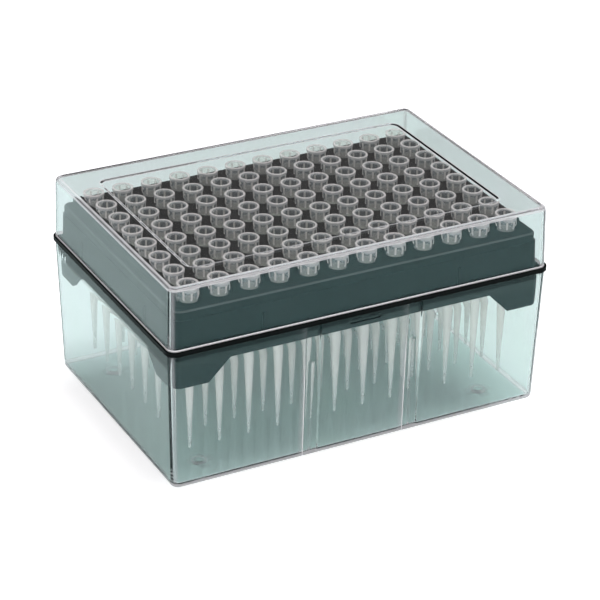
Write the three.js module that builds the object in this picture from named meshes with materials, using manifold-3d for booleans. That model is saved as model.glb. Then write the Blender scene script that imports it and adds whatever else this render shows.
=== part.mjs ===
// A box of 96 pipette tips: a clear drafted tub, a dark rack that drops into it and stands on the tub's rim,
// the tips that hang in the rack's deck on a 9 mm grid, and a clear lid that sits inside the rack's raised lip.
//
// Millimetres, +Z up. X runs along the long side, Y along the short side, and the origin is under the middle
// of the tub at the level of its feet. Heights are stacked from the feet up: floor, tips, deck, rim, lid.

import * as THREE from 'three';
import { mergeVertices } from 'three/addons/utils/BufferGeometryUtils.js';
import Module from 'manifold-3d';

const wasm = await Module();
wasm.setup();

// ---------------------------------------------------------------- driving dimensions

// Tip grid
const PITCH = 9;                  // spacing of neighbouring tips, both ways
const COLUMNS = 12;               // tips along X
const ROWS = 8;                   // tips along Y, lettered from the back
const LOOSE_ROWS = 4;             // front rows whose tips are pieces of their own

// Tip
const TIP_LENGTH = 49.8;          // mouth to end
const MOUTH_RADIUS = 3.05;        // outside of the mouth ring
const COLLAR_HEIGHT = 3.85;       // from the deck up to the mouth
const COLLAR_FOOT_RADIUS = 2.8;   // the shoulder that hangs on the deck
const SHANK_RADIUS = 2.42;        // just under the shoulder
const END_RADIUS = 0.4;           // outside of the end
const BORE_MOUTH_RADIUS = 2.45;
const BORE_NECK_RADIUS = 1.95;    // where the wide cone of the bore meets the narrow one
const BORE_NECK_DEPTH = 8;        // below the mouth
const BORE_END_RADIUS = 0.2;
const TIP_SIDES = 8;

// Rack
const DECK_MARGIN_X = 6.6;        // outermost tip axis to the deck's short edge
const DECK_MARGIN_Y = 6.2;        // outermost tip axis to the deck's long edge
const DECK_THICKNESS = 1.6;
const DECK_EDGE_RADIUS = 0.5;
const DECK_RISE = 10.75;          // deck above the flange
const HOLE_CLEARANCE = 0.13;      // around a tip's shank
const BAND_HEIGHT = 2.6;          // narrow band under the deck's edge
const BAND_STEP = 0.35;           // the wall below stands out this far
const RACK_WALL = 1.5;
const RACK_DRAFT_DEG = 1.6;       // the walls widen downwards
const RACK_CORNER_RADIUS = 2.4;
const FLANGE_THICKNESS = 1;
const FLANGE_CORNER_RADIUS = 3;
const LIP_WIDTH = 0.45;           // raised outer edge of the flange
const LIP_HEIGHT = 0.5;
const SKIRT_DEPTH = 4.4;          // below the flange, between the legs
const LEG_DEPTH = 10.8;           // below the flange, at the corners
const LEG_FOOT_X = 10.1;          // width of a leg's foot along X
const LEG_FOOT_Y = 9.6;           // and along Y
const LEG_SLOPE_RUN = 6.5;        // sideways run of the slope from foot to skirt
const GUSSET_X = 30.5;            // centring ribs on the long walls
const GUSSET_Y = 21.5;            // and on the short walls
const GUSSET_WIDTH = 0.7;
const GUSSET_CLEARANCE = 0.3;     // between a gusset and the lid at the flange
const GUSSET_HEIGHT = 5.5;

// Lid
const LID_WALL = 1.2;
const LID_GAP = 0.97;             // between the rack's wall and the lid at the flange
const LID_LIP_CLEARANCE = 0.2;    // between the lid and the flange's raised lip
const LID_DRAFT_DEG = 1.3;
const LID_HEADROOM = 3.2;         // above the tip mouths
const LID_CORNER_RADIUS = 2.4;
const LID_EDGE_RADIUS = 1.3;      // round of the top edge
const PANEL_INSET_X = 9.5;        // lid's outline to the sunken panel of its top, short sides
const PANEL_INSET_Y = 9.1;        // and long sides
const PANEL_DEPTH = 0.3;          // the ceiling under it stays flat
const PANEL_SLOPE_RUN = 0.85;
const PANEL_CORNER_RADIUS = 3;

// Tub
const FOOT_HEIGHT = 0.4;
const FOOT_RADIUS = 1.9;
const FOOT_INSET_X = 12.5;        // foot axis from the tub's short side
const FOOT_INSET_Y = 11.1;        // and from its long side
const FLOOR_THICKNESS = 1.3;
const TIP_FLOOR_CLEARANCE = 6.3;  // tip ends above the floor
const TUB_WALL = 1.2;
const TUB_DRAFT_DEG = 1.55;       // the walls widen upwards
const TUB_CORNER_RADIUS = 2.2;
const TUB_EDGE_RADIUS = 1.2;      // round of the bottom edge
const FLANGE_OVERHANG = 0.63;     // flange beyond the tub's rim
const SKIRT_CLEARANCE = 0.3;      // between the rack's skirt and the tub
const FLUTE_X = 15.9;             // shallow upright flutes in the long walls
const FLUTE_WIDTH = 4.3;
const FLUTE_DEPTH = 0.4;
const RIB_WIDTH = 1.1;            // stiffening rib inside each flute
const RIB_PROUD = 0.8;
const RIB_HEADROOM = 7.6;         // rib top below the skirt's lower edge
const SLOT_LENGTH = 9.6;          // thumb recess under the flange
const SLOT_HEIGHT = 1.2;
const SLOT_DEPTH = 0.3;
const SLOT_BELOW_RIM = 1.7;       // slot centre under the rim

const CORNER_STEPS = 4;           // facets round a quarter turn of a wall's corner
const EDGE_STEPS = 3;             // facets round an edge

// ---------------------------------------------------------------- heights, from the feet up

const underside = FOOT_HEIGHT;
const floorTop = underside + FLOOR_THICKNESS;
const tipEnd = floorTop + TIP_FLOOR_CLEARANCE;
const mouth = tipEnd + TIP_LENGTH;
const deck = mouth - COLLAR_HEIGHT;
const flangeTop = deck - DECK_RISE;
const rim = flangeTop - FLANGE_THICKNESS;
const lidCeiling = mouth + LID_HEADROOM;
const lidTop = lidCeiling + LID_WALL;

// ---------------------------------------------------------------- outlines, from the tip grid out

const slope = (degrees) => Math.tan(THREE.MathUtils.degToRad(degrees));

// A rounded rectangle: half lengths along X and Y, and the radius of its corners.
const outline = (halfX, halfY, radius) => ({ halfX, halfY, radius });

// The same outline moved outwards by a distance, or inwards by a negative one.
const grow = ({ halfX, halfY, radius }, by, newRadius = radius + by) => (
  outline(halfX + by, halfY + by, Math.max(newRadius, 0.3))
);

const deckOutline = outline(
  (COLUMNS - 1) / 2 * PITCH + DECK_MARGIN_X,
  (ROWS - 1) / 2 * PITCH + DECK_MARGIN_Y,
  RACK_CORNER_RADIUS,
);
const stepOutline = grow(deckOutline, BAND_STEP, RACK_CORNER_RADIUS);
const wallFoot = grow(stepOutline, (DECK_RISE - BAND_HEIGHT) * slope(RACK_DRAFT_DEG), RACK_CORNER_RADIUS);

const lidInner = grow(wallFoot, LID_GAP, LID_CORNER_RADIUS - LID_WALL);
const lidOuter = grow(lidInner, LID_WALL);
const lidInnerAt = (z) => grow(lidInner, -(z - flangeTop) * slope(LID_DRAFT_DEG), lidInner.radius);
const lidOuterAt = (z) => grow(lidOuter, -(z - flangeTop) * slope(LID_DRAFT_DEG), lidOuter.radius);

const lipInner = grow(lidOuter, LID_LIP_CLEARANCE, FLANGE_CORNER_RADIUS - LIP_WIDTH);
const flangeOuter = grow(lipInner, LIP_WIDTH);

const tubRim = grow(flangeOuter, -FLANGE_OVERHANG, TUB_CORNER_RADIUS);
const tubOuterAt = (z) => grow(tubRim, -(rim - z) * slope(TUB_DRAFT_DEG), tubRim.radius);
const tubInnerAt = (z) => grow(tubOuterAt(z), -TUB_WALL);
const skirtAt = (z) => grow(tubInnerAt(z), -SKIRT_CLEARANCE, RACK_CORNER_RADIUS);

// ---------------------------------------------------------------- shape helpers

// One ring of points round an outline at a height, anticlockwise seen from above.
function ring({ halfX, halfY, radius }, z) {
  const points = [];
  const corners = [[1, 1], [-1, 1], [-1, -1], [1, -1]];
  corners.forEach(([signX, signY], quarter) => {
    for (let step = 0; step <= CORNER_STEPS; step++) {
      const angle = (quarter + step / CORNER_STEPS) * Math.PI / 2;
      points.push(new THREE.Vector3(
        signX * (halfX - radius) + radius * Math.cos(angle),
        signY * (halfY - radius) + radius * Math.sin(angle),
        z,
      ));
    }
  });
  return points;
}

// The rings of a quarter-round edge between a wall and a flat. The wall's outline is moved inwards by up to
// the edge's radius while the height goes by the same radius, downwards or upwards.
function roundedEdge(wallAt, flatZ, radius, direction) {
  const rings = [];
  for (let step = 0; step <= EDGE_STEPS; step++) {
    const angle = step / EDGE_STEPS * Math.PI / 2;
    const inset = radius * (1 - Math.cos(angle));
    const z = flatZ - direction * radius * (1 - Math.sin(angle));
    rings.push(ring(grow(wallAt(z), -inset), z));
  }
  return rings;
}

// A closed solid whose skin runs from ring to ring, with a flat cap on the first and the last.
function loft(rings) {
  const size = rings[0].length;
  const positions = rings.flat().flatMap((point) => point.toArray());
  const index = [];
  for (let level = 0; level + 1 < rings.length; level++) {
    for (let k = 0; k < size; k++) {
      const a = level * size + k;
      const b = level * size + (k + 1) % size;
      index.push(a, b, b + size, a, b + size, a + size);
    }
  }
  const last = (rings.length - 1) * size;
  for (let k = 1; k + 1 < size; k++) {
    index.push(0, k + 1, k);
    index.push(last, last + k, last + k + 1);
  }
  const geometry = new THREE.BufferGeometry();
  geometry.setAttribute('position', new THREE.Float32BufferAttribute(positions, 3));
  geometry.setIndex(index);
  return geometry;
}

// Turns a profile of [radius, height] points that closes on itself about the Z axis.
function turned(profile, sides) {
  const points = profile.map(([radius, height]) => new THREE.Vector2(radius, height));
  return new THREE.LatheGeometry(points, sides).rotateX(Math.PI / 2);
}

function cylinder(radius, bottom, top, sides) {
  return new THREE.CylinderGeometry(radius, radius, top - bottom, sides)
    .rotateX(Math.PI / 2)
    .translate(0, 0, (bottom + top) / 2);
}

// ---------------------------------------------------------------- booleans

function toSolid(geometry) {
  const bare = geometry.clone();
  bare.deleteAttribute('normal');
  bare.deleteAttribute('uv');
  const merged = mergeVertices(bare, 1e-5);
  return new wasm.Manifold(new wasm.Mesh({
    numProp: 3,
    vertProperties: new Float32Array(merged.attributes.position.array),
    triVerts: new Uint32Array(merged.index.array),
  }));
}

function toGeometry(solid) {
  const mesh = solid.getMesh();
  const geometry = new THREE.BufferGeometry();
  geometry.setAttribute('position', new THREE.Float32BufferAttribute(mesh.vertProperties, 3));
  geometry.setIndex(new THREE.Uint32BufferAttribute(mesh.triVerts, 1));
  return geometry;
}

const join = (solid, pieces) => pieces.reduce((sum, piece) => sum.add(toSolid(piece)), solid);
const cut = (solid, pieces) => pieces.reduce((rest, piece) => rest.subtract(toSolid(piece)), solid);

// ---------------------------------------------------------------- tips

const tipX = (column) => (column - (COLUMNS - 1) / 2) * PITCH;
const tipY = (row) => ((ROWS - 1) / 2 - row) * PITCH;

// Heights below are measured from the mouth.
const tipOutside = [
  [MOUTH_RADIUS, 0],
  [COLLAR_FOOT_RADIUS, -COLLAR_HEIGHT],
  [SHANK_RADIUS, -COLLAR_HEIGHT],
  [END_RADIUS, -TIP_LENGTH],
];
const tipBore = [
  [BORE_END_RADIUS, -TIP_LENGTH],
  [BORE_NECK_RADIUS, -BORE_NECK_DEPTH],
  [BORE_MOUTH_RADIUS, 0],
];
const closed = (profile) => [...profile, profile[0]];
const tipProfile = closed([...tipOutside, ...tipBore].reverse());

// A plug that fills a tip's outer form, sunk a little into the deck so that it joins.
function tipPlug(x, y) {
  const axis = [[0, -TIP_LENGTH], ...[...tipOutside].reverse(), [0, 0]];
  return turned(axis, TIP_SIDES).translate(x, y, mouth);
}

// A cutter with the form of a tip's bore, running past both ends.
function tipBoreCutter(x, y) {
  const past = 0.5;
  const axis = [
    [0, -TIP_LENGTH - past],
    [BORE_END_RADIUS, -TIP_LENGTH - past],
    ...tipBore,
    [BORE_MOUTH_RADIUS, past],
    [0, past],
  ];
  return turned(axis, TIP_SIDES).translate(x, y, mouth);
}

// ---------------------------------------------------------------- rack

function rackShell() {
  const ceiling = deck - DECK_THICKNESS;
  const legFoot = rim - LEG_DEPTH;
  const step = deck - BAND_HEIGHT;
  const lipTop = flangeTop + LIP_HEIGHT;
  const innerTop = grow(deckOutline, -RACK_WALL);
  return loft([
    ring(innerTop, ceiling),
    ring(grow(wallFoot, -RACK_WALL), flangeTop),
    ring(grow(skirtAt(legFoot), -RACK_WALL), legFoot),
    ring(skirtAt(legFoot), legFoot),
    ring(skirtAt(rim), rim),
    ring(flangeOuter, rim),
    ring(flangeOuter, lipTop),
    ring(lipInner, lipTop),
    ring(lipInner, flangeTop),
    ring(wallFoot, flangeTop),
    ring(stepOutline, step),
    ring(deckOutline, step),
    ...roundedEdge(() => deckOutline, deck, DECK_EDGE_RADIUS, 1),
  ]);
}

// The gap between two legs, as a prism that runs right through the rack across one of its sides.
function archCutter(halfFoot, through) {
  const below = LEG_DEPTH - SKIRT_DEPTH;
  const halfTop = halfFoot - LEG_SLOPE_RUN;
  const halfBottom = halfFoot + LEG_SLOPE_RUN / below;
  const arch = new THREE.Shape([
    new THREE.Vector2(-halfBottom, -below - 1),
    new THREE.Vector2(halfBottom, -below - 1),
    new THREE.Vector2(halfTop, 0),
    new THREE.Vector2(-halfTop, 0),
  ]);
  return new THREE.ExtrudeGeometry(arch, { depth: 2 * through, bevelEnabled: false })
    .translate(0, 0, -through)
    .rotateX(Math.PI / 2)
    .translate(0, 0, rim - SKIRT_DEPTH);
}

// Small upright ribs at the foot of the rack's walls that centre the lid.
function gussets() {
  const proud = LID_GAP - GUSSET_CLEARANCE;
  const sunk = proud + RACK_WALL / 2;
  const shape = (sizeX, sizeY) => new THREE.BoxGeometry(sizeX, sizeY, GUSSET_HEIGHT);
  const height = flangeTop + GUSSET_HEIGHT / 2;
  const pieces = [];
  for (const side of [-1, 1]) {
    for (const along of [-1, 1]) {
      pieces.push(shape(GUSSET_WIDTH, sunk).translate(
        along * GUSSET_X, side * (wallFoot.halfY + proud - sunk / 2), height));
      pieces.push(shape(sunk, GUSSET_WIDTH).translate(
        side * (wallFoot.halfX + proud - sunk / 2), along * GUSSET_Y, height));
    }
  }
  return pieces;
}

function rackGeometry() {
  const feet = skirtAt(rim - LEG_DEPTH);
  const fused = [];
  const holes = [];
  for (let row = 0; row < ROWS; row++) {
    for (let column = 0; column < COLUMNS; column++) {
      const [x, y] = [tipX(column), tipY(row)];
      if (row < ROWS - LOOSE_ROWS) {
        fused.push([x, y]);
      } else {
        holes.push(cylinder(SHANK_RADIUS + HOLE_CLEARANCE, deck - DECK_THICKNESS - 1, deck + 1, TIP_SIDES)
          .translate(x, y, 0));
      }
    }
  }
  let rack = toSolid(rackShell());
  rack = join(rack, gussets());
  rack = cut(rack, [
    archCutter(feet.halfX - LEG_FOOT_X, flangeOuter.halfY),
    archCutter(feet.halfY - LEG_FOOT_Y, flangeOuter.halfX).rotateZ(Math.PI / 2),
  ]);
  rack = cut(rack, holes);
  rack = join(rack, fused.map(([x, y]) => tipPlug(x, y)));
  rack = cut(rack, fused.map(([x, y]) => tipBoreCutter(x, y)));
  return toGeometry(rack);
}

// ---------------------------------------------------------------- tub

// A box set on the slanting outer face of one long wall, from one height to another.
function wallStrip(x, width, depthIn, depthOut, bottom, top, face) {
  const strip = new THREE.BoxGeometry(width, depthIn + depthOut, top - bottom);
  strip.translate(0, (depthIn - depthOut) / 2, (bottom + top) / 2);
  strip.applyMatrix4(new THREE.Matrix4().makeShear(0, 0, 0, 0, 0, -slope(TUB_DRAFT_DEG)));
  strip.translate(x, -face + rim * slope(TUB_DRAFT_DEG), 0);
  return strip;
}

function slotCutter() {
  const radius = SLOT_HEIGHT / 2;
  const reach = SLOT_LENGTH / 2 - radius;
  const slot = new THREE.Shape()
    .absarc(-reach, 0, radius, Math.PI / 2, 3 * Math.PI / 2, false)
    .absarc(reach, 0, radius, -Math.PI / 2, Math.PI / 2, false);
  const face = tubOuterAt(rim - SLOT_BELOW_RIM).halfY;
  return new THREE.ExtrudeGeometry(slot, { depth: 1 + SLOT_DEPTH, bevelEnabled: false, curveSegments: 5 })
    .rotateX(Math.PI / 2)
    .translate(0, -face + SLOT_DEPTH, rim - SLOT_BELOW_RIM);
}

function tubGeometry() {
  const shell = loft([
    ...roundedEdge(tubOuterAt, underside, TUB_EDGE_RADIUS, -1).reverse(),
    ring(tubRim, rim),
    ring(tubInnerAt(rim), rim),
    ring(tubInnerAt(floorTop), floorTop),
  ]);
  const bottom = tubOuterAt(underside);
  const ribTop = rim - SKIRT_DEPTH - RIB_HEADROOM;
  const ribs = [];
  const flutes = [];
  const slots = [];
  for (const turn of [0, Math.PI]) {
    for (const side of [-1, 1]) {
      const x = side * FLUTE_X;
      flutes.push(wallStrip(x, FLUTE_WIDTH, FLUTE_DEPTH, 1, -1, rim + 1, tubRim.halfY).rotateZ(turn));
      ribs.push(wallStrip(x, RIB_WIDTH, TUB_WALL + RIB_PROUD, -TUB_WALL / 2, underside + FLOOR_THICKNESS / 2,
        ribTop, tubRim.halfY).rotateZ(turn));
    }
    slots.push(slotCutter().rotateZ(turn));
  }
  const feet = [];
  for (const sideX of [-1, 1]) {
    for (const sideY of [-1, 1]) {
      feet.push(cylinder(FOOT_RADIUS, 0, underside + FLOOR_THICKNESS / 2, 12).translate(
        sideX * (bottom.halfX - FOOT_INSET_X), sideY * (bottom.halfY - FOOT_INSET_Y), 0));
    }
  }
  let tub = toSolid(shell);
  tub = join(tub, [...ribs, ...feet]);
  tub = cut(tub, [...flutes, ...slots]);
  return toGeometry(tub);
}

// ---------------------------------------------------------------- lid

function lidGeometry() {
  const flat = grow(lidOuterAt(lidTop), -LID_EDGE_RADIUS);
  const panelFoot = outline(
    lidOuterAt(lidTop).halfX - PANEL_INSET_X,
    lidOuterAt(lidTop).halfY - PANEL_INSET_Y,
    Math.min(PANEL_CORNER_RADIUS, flat.halfY / 2),
  );
  const panel = grow(panelFoot, -PANEL_SLOPE_RUN);
  return loft([
    ring(lidInnerAt(lidCeiling), lidCeiling),
    ring(lidInner, flangeTop),
    ring(lidOuter, flangeTop),
    ...roundedEdge(lidOuterAt, lidTop, LID_EDGE_RADIUS, 1),
    ring(panelFoot, lidTop),
    ring(panel, lidTop - PANEL_DEPTH),
  ]);
}

// ---------------------------------------------------------------- materials

const clearPlastic = new THREE.MeshStandardMaterial({
  color: 0xdcecec, roughness: 0.06, metalness: 0, transparent: true, opacity: 0.3,
});
const darkPlastic = new THREE.MeshStandardMaterial({ color: 0x14191a, roughness: 0.45, metalness: 0 });
const milkyPlastic = new THREE.MeshStandardMaterial({
  color: 0xe6ebea, roughness: 0.3, metalness: 0, transparent: true, opacity: 0.7,
});

// ---------------------------------------------------------------- the box

function piece(name, geometry, material) {
  const mesh = new THREE.Mesh(geometry, material);
  mesh.name = name;
  return mesh;
}

const box = new THREE.Group();
box.add(piece('base_box', tubGeometry(), clearPlastic));
box.add(piece('tip_rack', rackGeometry(), darkPlastic));
box.add(piece('lid', lidGeometry(), clearPlastic));

const tips = new THREE.Group();
tips.position.z = mouth;
for (let row = ROWS - LOOSE_ROWS; row < ROWS; row++) {
  for (let column = 0; column < COLUMNS; column++) {
    const label = String.fromCharCode('A'.charCodeAt(0) + row) + String(column + 1).padStart(2, '0');
    const tip = piece(`tip_${label}`, turned(tipProfile, TIP_SIDES), milkyPlastic);
    tip.position.set(tipX(column), tipY(row), 0);
    tips.add(tip);
  }
}
box.add(tips);

export default box;
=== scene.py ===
# %% [markdown]
# # A lidded box of 96 pipette tips
#
# The box is four kinds of moulding. A clear tub stands on the bench. A dark rack drops into it and rests on
# its rim. Ninety-six milky tips hang in the rack's deck by their collars. A clear lid sits inside a raised
# lip of the rack.
#
# The measured model of the box is loaded first and fixes every place and size. The pieces made here stand
# in its nodes and give them their fine surfaces: every one is a grid of points worked out by a formula, so
# that a reader can follow how a moulded wall, a plate of holes or a ribbed collar comes out of a few
# numbers.

import bmesh
import bpy
import numpy as np
from mathutils import Matrix, Vector


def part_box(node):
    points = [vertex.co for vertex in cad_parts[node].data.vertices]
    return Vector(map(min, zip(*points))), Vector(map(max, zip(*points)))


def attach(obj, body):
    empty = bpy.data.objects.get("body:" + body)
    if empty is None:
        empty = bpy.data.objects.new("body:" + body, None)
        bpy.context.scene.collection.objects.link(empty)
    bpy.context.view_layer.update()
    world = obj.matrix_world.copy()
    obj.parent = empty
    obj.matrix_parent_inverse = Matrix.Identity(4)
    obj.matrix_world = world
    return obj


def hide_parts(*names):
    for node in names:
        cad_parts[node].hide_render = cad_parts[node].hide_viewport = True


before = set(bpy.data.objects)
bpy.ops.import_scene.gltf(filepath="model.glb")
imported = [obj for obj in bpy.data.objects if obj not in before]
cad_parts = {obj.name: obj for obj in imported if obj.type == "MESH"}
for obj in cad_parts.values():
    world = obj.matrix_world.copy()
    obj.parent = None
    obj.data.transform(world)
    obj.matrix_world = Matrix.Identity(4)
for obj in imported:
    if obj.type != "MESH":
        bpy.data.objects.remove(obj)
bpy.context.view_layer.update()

MM = 0.001  # the frame is in metres, and the sizes below are in millimetres

# %% [markdown]
# ## Sizes that the frame already holds
#
# Heights are read from the boxes round the nodes. The tub's box ends at its rim, where the rack's flange
# rests. The lid's box starts on top of that flange. A tip's box runs from its mouth down to its end, and
# two neighbouring tips give the pitch of the grid. The moulder's own numbers, such as walls, drafts and
# radii, stand in the cell that first needs them. All are in millimetres, and angles are in degrees.

# %% Measure the frame


def extent(node):
    """Half lengths along X and Y, then lowest and highest level, of one node, in millimetres."""
    low, high = (np.array(corner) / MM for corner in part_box(node))
    return (high[0] - low[0]) / 2, (high[1] - low[1]) / 2, low[2], high[2]


tub_x, tub_y, foot_level, rim_level = extent("base_box")
lid_x, lid_y, flange_level, lid_top_level = extent("lid")
flange_x, flange_y, tip_end_level, mouth_level = extent("tip_rack")

first_tip = np.array(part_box("tip_H01")).mean(axis=0) / MM
next_tip = np.array(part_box("tip_H02")).mean(axis=0) / MM
PITCH = next_tip[0] - first_tip[0]
COLUMNS, ROWS = 12, 8
GRID_X, GRID_Y = COLUMNS * PITCH / 2, ROWS * PITCH / 2
print(f"pitch {PITCH:.2f}, rim {rim_level:.2f}, flange {flange_level:.2f}, mouths {mouth_level:.2f} mm")

# %% Levels that several mouldings share
SEAT_GAP = 0.03  # air left between two mouldings that rest on each other
FOOT_HEIGHT, FLOOR_THICKNESS, COLLAR_HEIGHT = 0.4, 1.3, 3.85

deck_level = mouth_level - COLLAR_HEIGHT
underside_level = foot_level + FOOT_HEIGHT
floor_level = underside_level + FLOOR_THICKNESS
print(f"underside {underside_level:.2f}, floor {floor_level:.2f}, deck {deck_level:.2f} mm")


def slope(degrees):
    """Sideways travel of a drafted wall for each millimetre of height."""
    return np.tan(np.radians(degrees))


# %% [markdown]
# ## One outline for every wall
#
# Tub, lid and rack are all rounded rectangles that change size with height, so they share one idea. A
# sample on such an outline has an anchor, which lies on the straight sides' own rectangle, and a direction,
# in which the corner radius pushes it out. Where the side is straight the direction stays put and the
# anchor moves. Round a corner the anchor stays put and the direction turns. A whole wall is then one sum of
# arrays: anchor times straight half length, plus radius times direction, for every ring and every sample at
# once.
#
# A side's samples are spread in one of two ways. Samples given as shares stretch with the side. Samples
# given as places keep their millimetres at every height, so that an upright flute stays upright in a
# leaning wall.

# %% Samples along a side and round a corner
CORNER_STEPS = 8
HOLD = 0.25  # a sample this close to a bend keeps the smooth shading of the bend off the flat beyond it


def stretched(count):
    """Evenly spread samples that stretch with the side: shares from -1 to 1, and no fixed place."""
    share = np.linspace(-1, 1, count + 1)
    return share, np.zeros_like(share)


def fixed(half, coarse, *marks):
    """Samples at fixed places up to half, every coarse mm and every fine mm within reach of each mark, and
    the same on the other side of the middle. Then come one held just off each end and the ends, which
    follow the side."""
    inner = half - 3 * HOLD
    places = [np.linspace(0, inner, int(np.ceil(inner / coarse)) + 1)]
    places += [np.abs(centre + np.arange(-reach, reach + fine / 2, fine)) for centre, reach, fine in marks]
    places = np.unique(np.round(np.concatenate(places), 3))
    places = places[np.diff(places, prepend=0) > HOLD / 5]
    places = places[places <= inner]
    places = np.concatenate([-places[::-1], [0], places])
    share = np.concatenate([[-1, -1], np.zeros_like(places), [1, 1]])
    return share, np.concatenate([[0, HOLD], places, [-HOLD, 0]])


def outline_samples(side_x, side_y):
    """The samples of a rounded rectangle, anticlockwise from the start of the right side: side, corner,
    side, corner and so on. Returns shares, fixed places and directions, each with a row of X and a row of
    Y."""
    (share_x, place_x), (share_y, place_y) = side_x, side_y
    turn = np.linspace(0, np.pi / 2, CORNER_STEPS + 1)[1:-1]
    one_x, one_y, one_turn = np.ones_like(share_x), np.ones_like(share_y), np.ones_like(turn)
    share = [[one_y, share_y], [one_turn, one_turn], [-share_x, one_x], [-one_turn, one_turn],
             [-one_y, -share_y], [-one_turn, -one_turn], [share_x, -one_x], [one_turn, -one_turn]]
    place = [[0 * one_y, place_y], [0 * turn, 0 * turn], [-place_x, 0 * one_x], [0 * turn, 0 * turn],
             [0 * one_y, -place_y], [0 * turn, 0 * turn], [place_x, 0 * one_x], [0 * turn, 0 * turn]]
    angle = [0 * one_y, turn, 0 * one_x + np.pi / 2, turn + np.pi / 2,
             0 * one_y + np.pi, turn + np.pi, 0 * one_x + 1.5 * np.pi, turn + 1.5 * np.pi]
    angle = np.concatenate(angle)
    direction = np.array([np.cos(angle), np.sin(angle)])
    return np.hstack(share), np.hstack(place), np.where(np.abs(direction) < 1e-9, 0, direction)


# %% Rings and flat patches


def rings(samples, rows):
    """Points of a wall, one ring for each row of half length X, half length Y, corner radius and height.
    Each point is share times (half length less radius), plus its fixed place, plus radius times
    direction."""
    share, place, direction = samples
    half_x, half_y, radius, height = (np.array(column)[:, None] for column in zip(*rows))
    x = share[0] * (half_x - radius) + place[0] + radius * direction[0]
    y = share[1] * (half_y - radius) + place[1] + radius * direction[1]
    return np.stack([x, y, np.broadcast_to(height, x.shape)], axis=-1)


def patch(side_x, side_y, half_x, half_y, height):
    """A flat rectangle whose border has the same samples as a ring without corner radius, so that the two
    join point to point: the columns are the X samples and the rows the Y samples."""
    x = side_x[0] * half_x + side_x[1]
    y = side_y[0] * half_y + side_y[1]
    grid_x, grid_y = np.meshgrid(x, y)
    return np.stack([grid_x, grid_y, np.full_like(grid_x, height)], axis=-1)


def quarter_round(half_x, half_y, corner, level, radius, start, turn, steps=6):
    """Rows of a quarter-round edge that starts flat or upright. The inset from the outline is radius times
    (1 - cos a) and the height runs by radius times sin a, with a going through 90 degrees."""
    angle = np.linspace(0, np.pi / 2, steps + 1)
    if start == "wall":
        inset, rise = radius * (1 - np.cos(angle)), radius * np.sin(angle)
    else:
        inset, rise = radius * (1 - np.sin(angle)), radius * (1 - np.cos(angle))
    return [(half_x - i, half_y - i, max(corner - i, 0), level + turn * r) for i, r in zip(inset, rise)]


# %% [markdown]
# ## From grids of points to one closed mesh
#
# A grid of points becomes faces by joining each point to its three neighbours. A wall's rings close on
# themselves, and a patch doesn't. A piece is the sum of a few such grids whose borders hold the same
# points, so merging the doubles closes the seams, and the faces can then be turned outwards all together.

# %% Grid faces


def grid_faces(points, closed):
    """Quads of a grid of points: each joins a point, the next one along, and the same two a row further on.
    With closed set, the last column joins the first."""
    row_count, column_count = points.shape[:2]
    index = np.arange(row_count * column_count).reshape(row_count, column_count)
    if closed:
        index = np.hstack([index, index[:, :1]])
    corners = [index[:-1, :-1], index[:-1, 1:], index[1:, 1:], index[1:, :-1]]
    return np.stack(corners, axis=-1).reshape(-1, 4)


# %% The piece builder
MERGE = 1e-6  # metres


def mesh_piece(name, grids, sharp_angle=35, haze_and_highlight=None):
    """One closed, outward-facing mesh out of (points, closed) grids given in millimetres. haze_and_highlight
    is an optional number for each point, kept as an attribute of that name for the material to read: milky
    haze on the tips, and painted highlight on the clear and dark mouldings."""
    vertices, faces, count = [], [], 0
    for points, closed in grids:
        faces.append(grid_faces(points, closed) + count)
        vertices.append(points.reshape(-1, 3))
        count += points.shape[0] * points.shape[1]
    vertices, faces = np.concatenate(vertices) * MM, np.concatenate(faces)
    mesh = bpy.data.meshes.new(name)
    mesh.vertices.add(len(vertices))
    mesh.vertices.foreach_set("co", vertices.ravel())
    mesh.loops.add(faces.size)
    mesh.loops.foreach_set("vertex_index", faces.ravel())
    mesh.polygons.add(len(faces))
    mesh.polygons.foreach_set("loop_start", np.arange(0, faces.size, 4))
    mesh.update(calc_edges=True)
    if haze_and_highlight is not None:
        mesh.attributes.new("haze_and_highlight", "FLOAT", "POINT").data.foreach_set("value", np.ravel(haze_and_highlight))
    work = bmesh.new()
    work.from_mesh(mesh)
    bmesh.ops.remove_doubles(work, verts=work.verts, dist=MERGE)
    bmesh.ops.recalc_face_normals(work, faces=work.faces)
    open_edges = sum(not edge.is_manifold for edge in work.edges)
    work.to_mesh(mesh)
    work.free()
    mesh.shade_smooth()
    mesh.set_sharp_from_angle(angle=np.radians(sharp_angle))
    piece = bpy.data.objects.new(name, mesh)
    bpy.context.scene.collection.objects.link(piece)
    triangles = sum(len(polygon.vertices) - 2 for polygon in mesh.polygons)
    print(f"{name}: {triangles} triangles, {open_edges} open edges")
    return piece


# %% Dressing a piece


def dress(piece, body, slot, material, *nodes):
    """Gives a piece its material and its body, and hides the nodes of the measured model that it stands for.
    """
    piece.data.materials.append(material)
    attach(piece, body)
    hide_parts(*nodes)
    return piece


def ridge(distance, width, edge):
    """1 inside a strip of that width and 0 outside, with a straight ramp as wide as edge on its borders."""
    return np.clip((width / 2 - np.abs(distance)) / edge + 0.5, 0, 1)


# %% [markdown]
# ## Clear plastic
#
# Tub and lid are injection-moulded polystyrene: clear, glossy and faintly cyan where it is thick, and their
# reflections carry a painted cyan tint. Walls that are made with both their faces bend the light as the real
# ones do, so every edge draws its own bright and dark lines, and pale lines on corners and edges are painted
# highlights on top of that. What is inside the box still has to be lit. A lamp's ray can't find its way
# through a bending wall, so for shadow rays and for soft bounced light the wall is a slightly tinted,
# straight window instead: a neutral one for the lid and a cyan one for the thicker tub.
#
# Moulded sheets are never quite flat. A slow noise bends the surface a little, and a second one gives the
# polished faces their cloudier patches. Moulding stress splits light into faint pink and green bands, which
# the colour carries as very pale tints.

# %% Node helpers


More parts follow.
